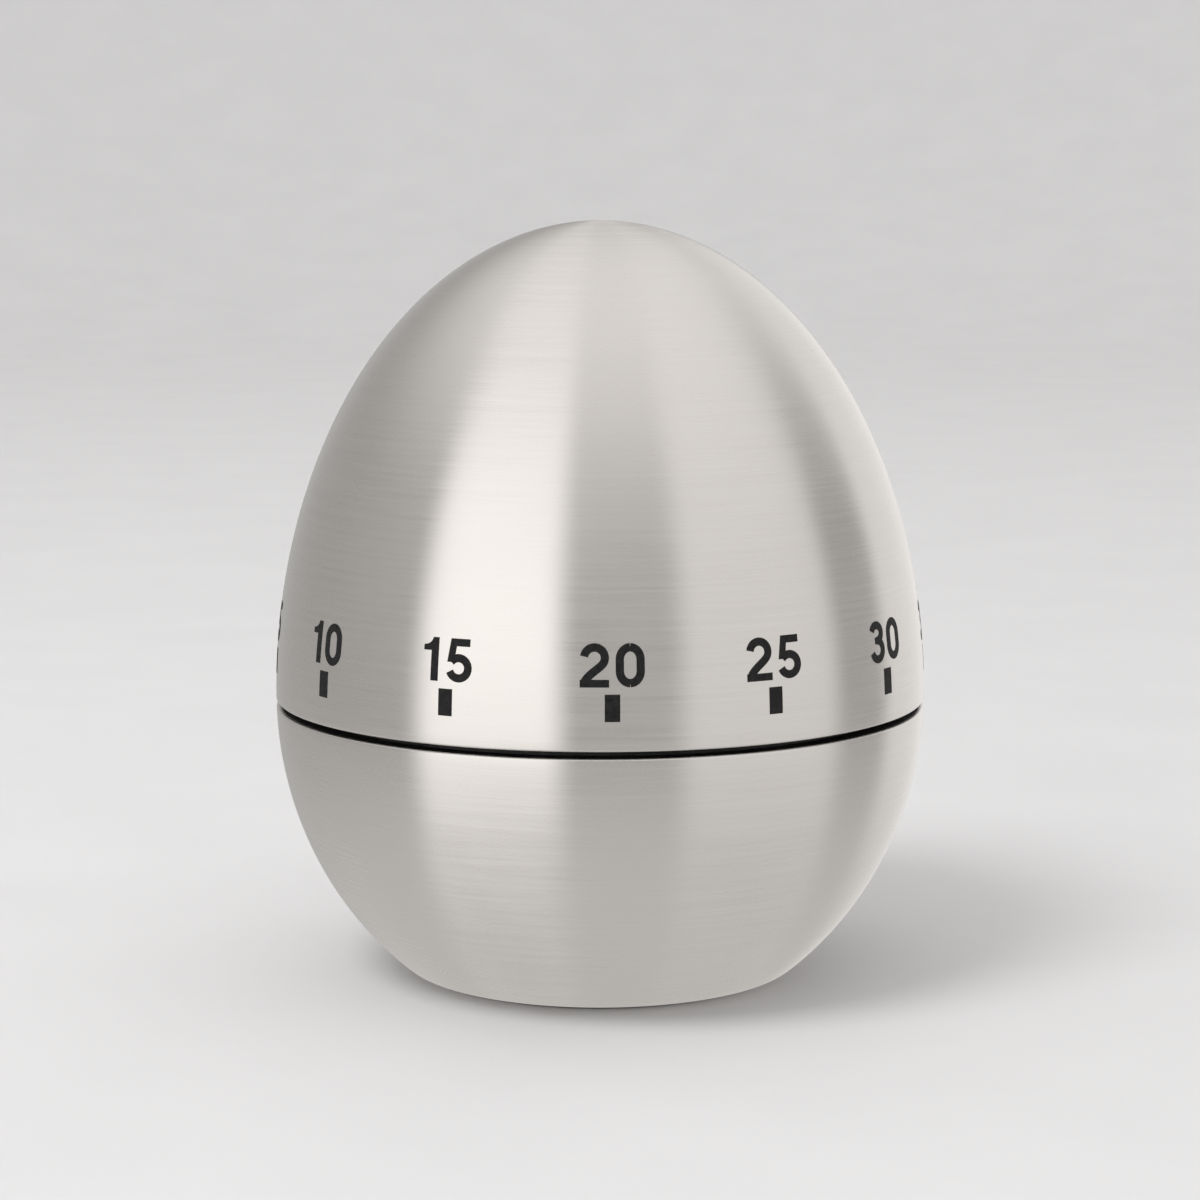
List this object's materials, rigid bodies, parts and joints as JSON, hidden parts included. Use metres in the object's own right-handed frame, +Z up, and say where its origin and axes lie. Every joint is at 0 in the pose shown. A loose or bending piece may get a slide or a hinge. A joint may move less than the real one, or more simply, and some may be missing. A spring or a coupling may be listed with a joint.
{
  "type": "kitchen timer",
  "caption": "Egg-shaped steel kitchen timer: a domed upper half with a minute scale turns on a cup-shaped lower half around a spring-driven bell movement.",
  "frame": {"origin": "centre of the base, on the surface that the timer stands on", "axes": "+Z up along the axis that the dial turns about; -Y is the front, where minute 20 of the scale stands with the timer at zero; +X is to the right of the front"},
  "size_m": [0.06, 0.06, 0.0695],
  "materials": {
    "steel": "turned and brushed round the axis",
    "black_plastic": "moulded, fine grain",
    "ink": "printed, satin",
    "brass": "stamped, satin",
    "bright_steel": "turned and ground",
    "bell_steel": "nickel plated",
    "spring_steel": "blued strip"
  },
  "bodies": {
    "base": {"lower_shell": "steel", "lower_liner": "black_plastic", "pointer_mark": "ink", "base_cover": "black_plastic", "base_screws": "bright_steel", "bottom_plate": "brass", "top_plate": "brass", "plate_pillars": "bright_steel", "pillar_nuts": "bright_steel", "movement_screws": "bright_steel", "mainspring": "spring_steel", "spring_post": "bright_steel", "stop_pin": "bright_steel", "bell": "bell_steel", "bell_post": "brass", "bell_screw": "bright_steel", "balance_cock": "brass", "cock_screw": "bright_steel", "hairspring": "spring_steel", "hairspring_stud": "brass", "hammer_stud": "bright_steel", "lever_stud": "bright_steel"},
    "dial": {"upper_shell": "steel", "dial_liner": "black_plastic", "minute_scale": "ink", "main_arbor": "bright_steel", "main_wheel": "brass", "ratchet_wheel": "bright_steel", "arbor_clip": "bright_steel", "click_rivet": "brass", "click_spring": "spring_steel", "stop_finger": "bright_steel", "alarm_cam": "brass"},
    "click": {"click": "bright_steel"},
    "second_wheel_set": {"second_arbor": "bright_steel", "second_wheel": "brass"},
    "third_wheel_set": {"third_arbor": "bright_steel", "third_wheel": "brass", "hammer_star": "bright_steel"},
    "escape_wheel_set": {"escape_arbor": "bright_steel", "escape_wheel": "brass"},
    "pallets": {"pallet_arbor": "bright_steel", "pallet_fork": "bright_steel"},
    "balance": {"balance_staff": "bright_steel", "balance_wheel": "brass", "balance_roller": "bright_steel"},
    "hammer": {"hammer_rocker": "bright_steel", "hammer_head": "brass"},
    "release_lever": {"release_lever": "bright_steel"}
  },
  "joints": [
    {"name": "dial_turn", "type": "hinge", "parent": "base", "child": "dial", "pos_m": [0, 0, 0], "axis": [0, 0, -1], "range_deg": [0, 350], "deforming": ["mainspring"]},
    {"name": "second_wheel_turn", "type": "hinge", "parent": "base", "child": "second_wheel_set", "pos_m": [0.01278, 0.00465, 0], "axis": [0, 0, -1], "range_deg": [-2625, 0]},
    {"name": "third_wheel_turn", "type": "hinge", "parent": "base", "child": "third_wheel_set", "pos_m": [0.00888, 0.01209, 0], "axis": [0, 0, -1], "range_deg": [0, 15750]},
    {"name": "escape_wheel_turn", "type": "hinge", "parent": "base", "child": "escape_wheel_set", "pos_m": [0.0021, 0.01384, 0], "axis": [0, 0, -1], "range_deg": [-94500, 0]},
    {"name": "pallet_rock", "type": "hinge", "parent": "base", "child": "pallets", "pos_m": [-0.00282, 0.01473, 0], "axis": [0, 0, 1], "range_deg": [-5, 5]},
    {"name": "balance_swing", "type": "hinge", "parent": "base", "child": "balance", "pos_m": [-0.00757, 0.01177, 0], "axis": [0, 0, 1], "range_deg": [-140, 140], "stiffness_Nm_per_rad": 0.00002, "deforming": ["hairspring"]},
    {"name": "hammer_swing", "type": "hinge", "parent": "base", "child": "hammer", "pos_m": [0.01347, 0.01239, 0], "axis": [0, 0, -1], "range_deg": [-3, 8.5]},
    {"name": "release_lever_tilt", "type": "hinge", "parent": "base", "child": "release_lever", "pos_m": [0.01196, -0.00072, 0], "axis": [0, 0, 1], "range_deg": [-5, 1.5]},
    {"name": "click_lift", "type": "hinge", "parent": "dial", "child": "click", "pos_m": [-0.00402, -0.00573, 0], "axis": [0, 0, 1], "range_deg": [0, 10], "stiffness_Nm_per_rad": 0.00002, "deforming": ["click_spring"]}
  ],
  "couplings": [
    {"joint": "second_wheel_turn", "follows": "dial_turn", "ratio": -7.5},
    {"joint": "third_wheel_turn", "follows": "dial_turn", "ratio": 45},
    {"joint": "escape_wheel_turn", "follows": "dial_turn", "ratio": -270}
  ]
}
